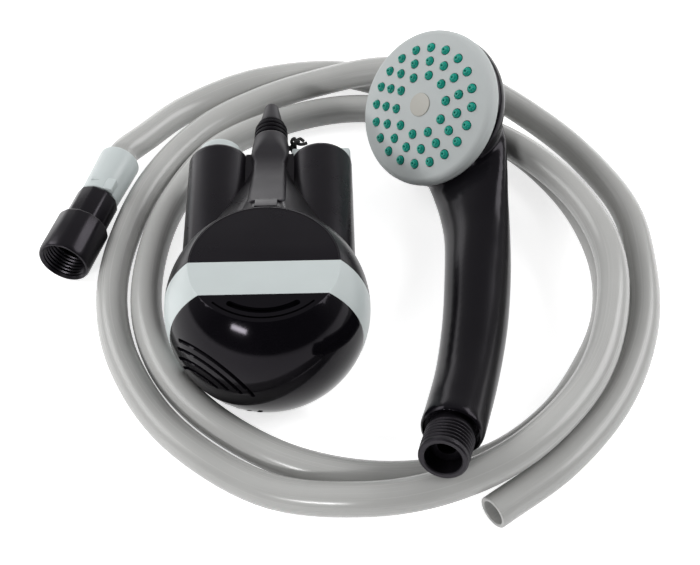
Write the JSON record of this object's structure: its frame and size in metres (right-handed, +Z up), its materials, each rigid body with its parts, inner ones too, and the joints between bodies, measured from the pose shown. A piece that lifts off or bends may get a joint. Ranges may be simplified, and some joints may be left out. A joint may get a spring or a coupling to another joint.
{
  "type": "camp shower pump kit",
  "caption": "Battery pump with a round slotted intake, twin battery tubes and a cone outlet, with a coiled grey hose, a swivel nut and a hand shower with a nozzle face.",
  "frame": {"origin": "centre of the pump's back flat, on the table", "axes": "+Y along the pump to its outlet, +Z up through its front flat, +X to its right"},
  "size_m": [0.2931, 0.2863, 0.0722],
  "materials": {
    "casing_black": "glossy black moulding",
    "pale_plastic": "satin pale grey",
    "face_grey": "satin grey",
    "inner_plastic": "plain moulding",
    "seal_rubber": "soft rubber",
    "cord_black": "woven cord",
    "cell_sleeve": "sleeved steel",
    "spring_steel": "bright steel",
    "lead_red": "insulated wire",
    "hose_vinyl": "smooth flexible vinyl",
    "nozzle_teal": "soft teal rubber"
  },
  "bodies": {
    "kit": {"upper_casing": "casing_black", "belt_band": "pale_plastic", "intake_dome": "casing_black", "bulkhead": "inner_plastic", "outlet_spout": "casing_black", "cap_gaskets": "seal_rubber", "left_lower_cell": "cell_sleeve", "left_upper_cell": "cell_sleeve", "right_lower_cell": "cell_sleeve", "right_upper_cell": "cell_sleeve", "lower_contacts": "spring_steel", "motor_can": "spring_steel", "shaft_seal": "seal_rubber", "volute_housing": "inner_plastic", "volute_screws": "spring_steel", "delivery_pipe": "inner_plastic", "motor_leads": "lead_red", "tie_cord": "cord_black", "hose": "hose_vinyl", "hose_tail": "pale_plastic", "nut_washer": "seal_rubber", "handset_shell": "casing_black", "inlet_spigot": "casing_black", "flow_disc": "inner_plastic", "spray_face": "face_grey", "nozzle_mat": "nozzle_teal", "centre_cap": "face_grey", "face_screw": "spring_steel", "face_seal": "seal_rubber"},
    "rotor": {"impeller": "inner_plastic", "motor_shaft": "spring_steel"},
    "left_cap": {"left_cap": "casing_black", "left_contact": "spring_steel"},
    "power_button": {"power_button": "pale_plastic"},
    "right_cap": {"right_cap": "casing_black", "cap_grip": "pale_plastic", "right_contact": "spring_steel"},
    "swivel_nut": {"swivel_nut": "casing_black"}
  },
  "joints": [
    {"name": "impeller_spin", "type": "hinge", "parent": "kit", "child": "rotor", "pos_m": [0, 0, 0.0316], "axis": [0, 1, 0], "continuous": true},
    {"name": "left_cap_turn", "type": "hinge", "parent": "kit", "child": "left_cap", "pos_m": [-0.02438, 0.0867, 0.0316], "axis": [0, 1, 0], "range_deg": [0, 90]},
    {"name": "button_press", "type": "slide", "parent": "left_cap", "child": "power_button", "axis": [0, -1, 0], "range_m": [0, 0.0015], "stiffness_N_per_m": 400, "springref_m": -0.0005},
    {"name": "right_cap_turn", "type": "hinge", "parent": "kit", "child": "right_cap", "pos_m": [0.02438, 0.0867, 0.0316], "axis": [0, 1, 0], "range_deg": [0, 90]},
    {"name": "nut_spin", "type": "hinge", "parent": "kit", "child": "swivel_nut", "pos_m": [-0.0978, 0.0454, 0.0132], "axis": [0.294, 0.9558, 0], "continuous": true}
  ]
}
